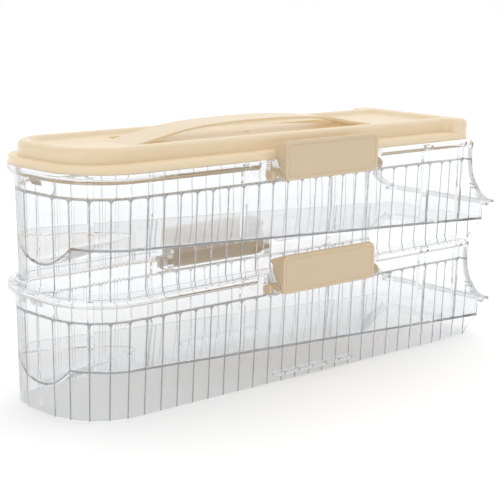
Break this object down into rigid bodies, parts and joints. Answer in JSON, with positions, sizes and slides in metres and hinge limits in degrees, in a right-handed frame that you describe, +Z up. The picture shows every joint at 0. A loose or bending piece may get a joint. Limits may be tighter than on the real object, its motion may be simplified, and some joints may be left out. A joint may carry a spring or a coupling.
{
  "type": "egg dispenser",
  "caption": "Clear stacking egg box in tiers with sloping floors, open front mouths, side clips, and a cream lid with a carry handle.",
  "frame": {"origin": "centre of the bounding box in plan, on the plane the lower tier stands on", "axes": "+Z up, +X out of the open front mouth along the length, +Y to the left when looking out of the mouth"},
  "size_m": [0.3923, 0.1234, 0.174],
  "materials": {
    "clear_plastic": "clear moulded polystyrene or PET, glossy",
    "lid_plastic": "cream moulded plastic, soft gloss",
    "handle_plastic": "cream moulded plastic, soft gloss",
    "clip_plastic": "cream moulded plastic, soft gloss",
    "pin_plastic": "cream moulded plastic"
  },
  "bodies": {
    "lower_body": {"lower_tier": "clear_plastic", "lower_clip_pin_left": "pin_plastic", "lower_clip_pin_right": "pin_plastic"},
    "upper_body": {"upper_tier": "clear_plastic", "upper_clip_pin_left": "pin_plastic", "upper_clip_pin_right": "pin_plastic"},
    "lid_body": {"lid": "lid_plastic", "carry_handle": "handle_plastic"},
    "lower_clip_left_body": {"lower_clip_left": "clip_plastic"},
    "lower_clip_right_body": {"lower_clip_right": "clip_plastic"},
    "upper_clip_left_body": {"upper_clip_left": "clip_plastic"},
    "upper_clip_right_body": {"upper_clip_right": "clip_plastic"}
  },
  "joints": [
    {"name": "upper_tier_lift", "type": "slide", "parent": "lower_body", "child": "upper_body", "axis": [0, 0, 1], "range_m": [0, 0.035]},
    {"name": "lid_lift", "type": "slide", "parent": "upper_body", "child": "lid_body", "axis": [0, 0, 1], "range_m": [0, 0.035]},
    {"name": "lower_clip_left_hinge", "type": "hinge", "parent": "lower_body", "child": "lower_clip_left_body", "pos_m": [0.00345, 0.05535, 0.0678], "axis": [-1, 0, 0], "range_deg": [0, 110]},
    {"name": "lower_clip_right_hinge", "type": "hinge", "parent": "lower_body", "child": "lower_clip_right_body", "pos_m": [0.00345, -0.05535, 0.0678], "axis": [1, 0, 0], "range_deg": [0, 110]},
    {"name": "upper_clip_left_hinge", "type": "hinge", "parent": "upper_body", "child": "upper_clip_left_body", "pos_m": [0.00345, 0.05535, 0.1428], "axis": [-1, 0, 0], "range_deg": [0, 110]},
    {"name": "upper_clip_right_hinge", "type": "hinge", "parent": "upper_body", "child": "upper_clip_right_body", "pos_m": [0.00345, -0.05535, 0.1428], "axis": [1, 0, 0], "range_deg": [0, 110]}
  ],
  "couplings": [
    {"joint": "lower_clip_left_hinge", "follows": "upper_tier_lift", "rad_per_m": 54.8},
    {"joint": "lower_clip_right_hinge", "follows": "upper_tier_lift", "rad_per_m": 54.8},
    {"joint": "upper_clip_left_hinge", "follows": "lid_lift", "rad_per_m": 54.8},
    {"joint": "upper_clip_right_hinge", "follows": "lid_lift", "rad_per_m": 54.8}
  ]
}
